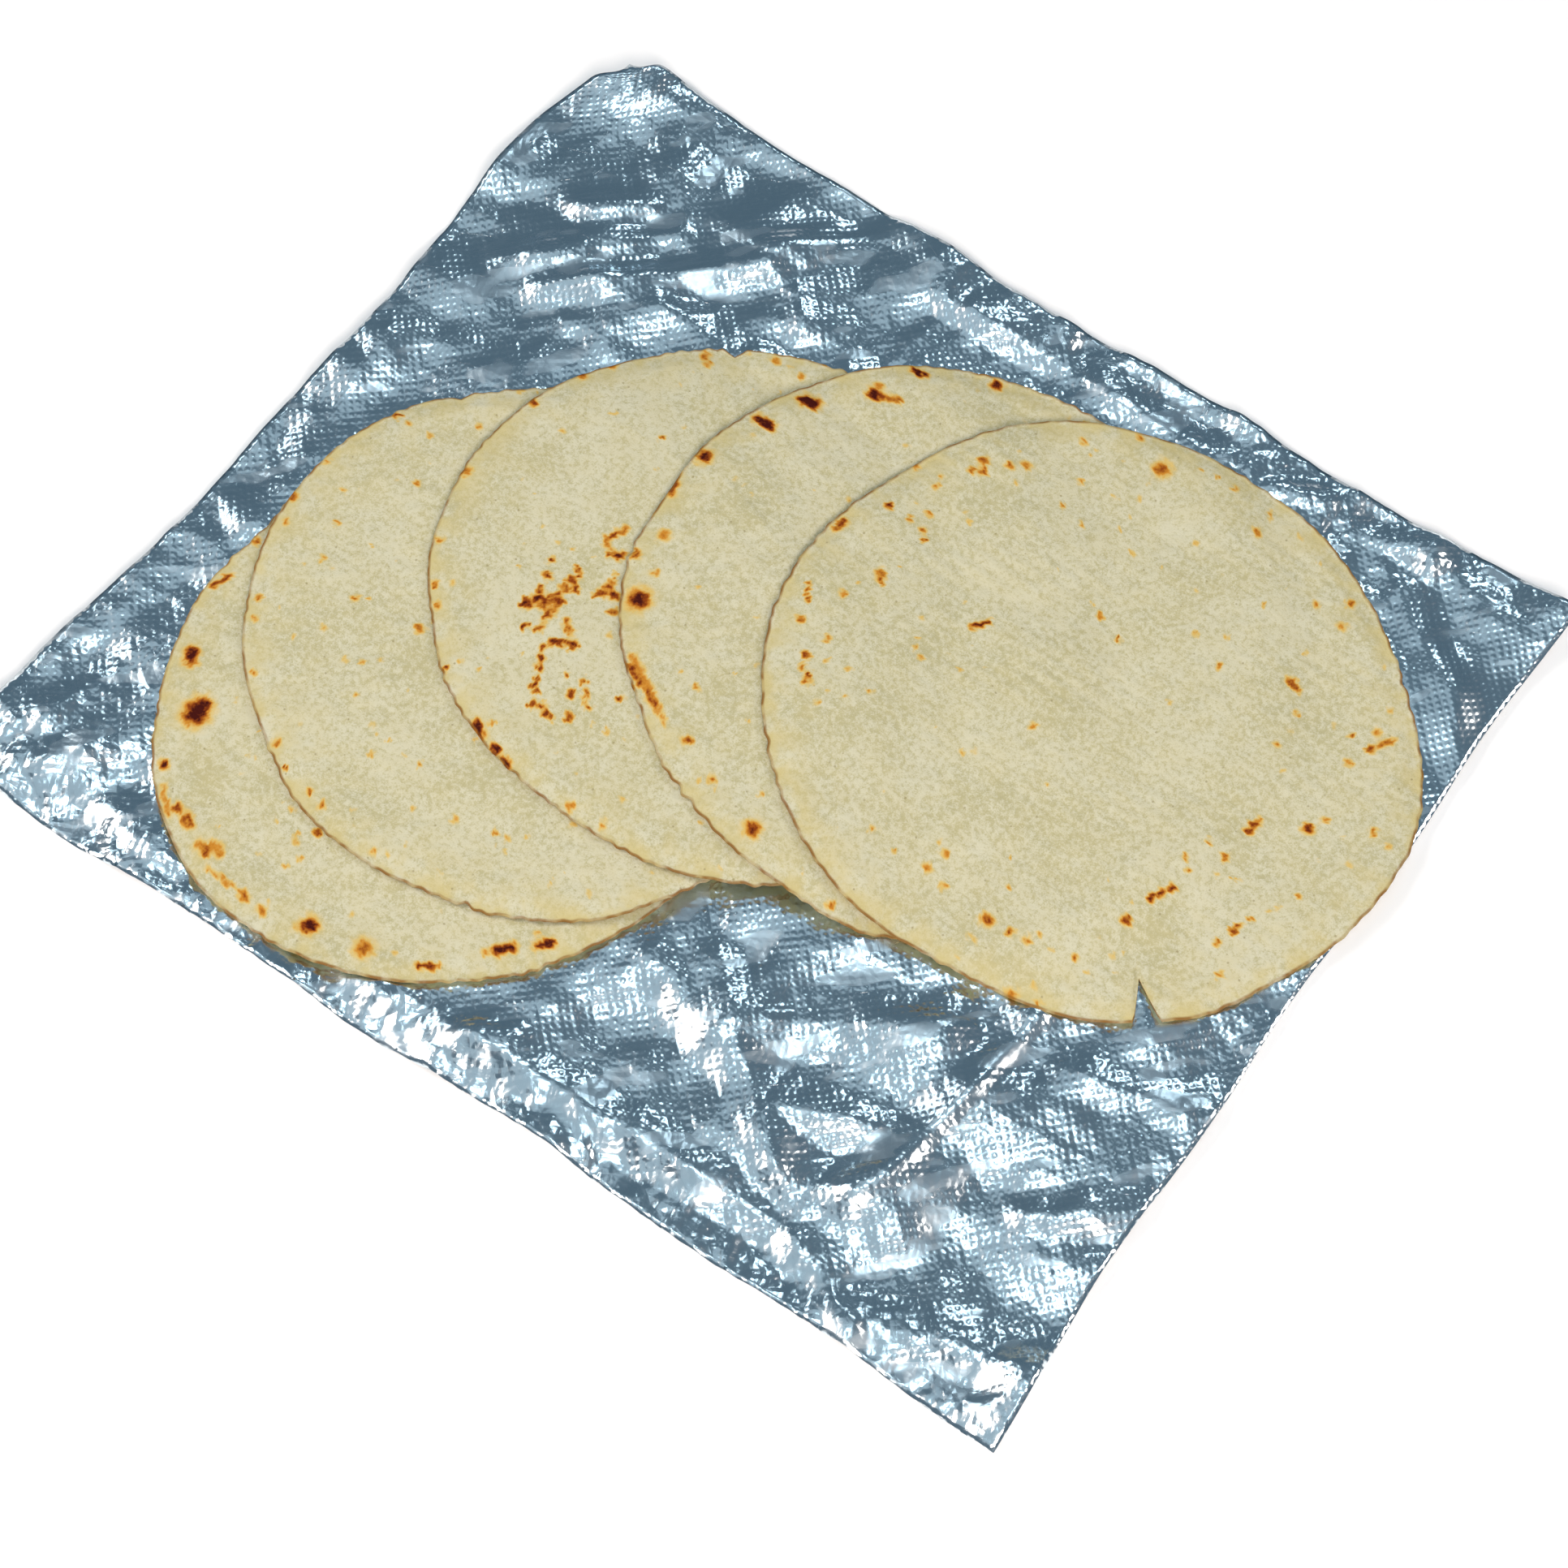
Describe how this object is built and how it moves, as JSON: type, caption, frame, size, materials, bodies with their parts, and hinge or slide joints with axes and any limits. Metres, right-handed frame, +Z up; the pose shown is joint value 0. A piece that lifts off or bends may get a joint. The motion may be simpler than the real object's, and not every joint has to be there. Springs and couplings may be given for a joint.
{
  "type": "corn tortilla stack",
  "caption": "Corn tortillas fanned out in an overlapping stack on a crumpled sheet of dot-embossed kitchen foil, with toasted spots and a torn rim.",
  "frame": {"origin": "middle of the footprint, at table height", "axes": "+X along the foil sheet's long side, +Y along its short side, +Z up through the thin height of the stack"},
  "size_m": [0.304, 0.2634, 0.014],
  "materials": {
    "foil": "bright crumpled household foil, embossed with a fine lattice of dots",
    "tortilla": "matte baked corn dough, pale cream yellow with toasted brown spots"
  },
  "bodies": {
    "root": {"foil_sheet": "foil", "tortilla_1": "tortilla", "tortilla_2": "tortilla", "tortilla_3": "tortilla", "tortilla_4": "tortilla", "tortilla_5": "tortilla"}
  },
  "joints": []
}
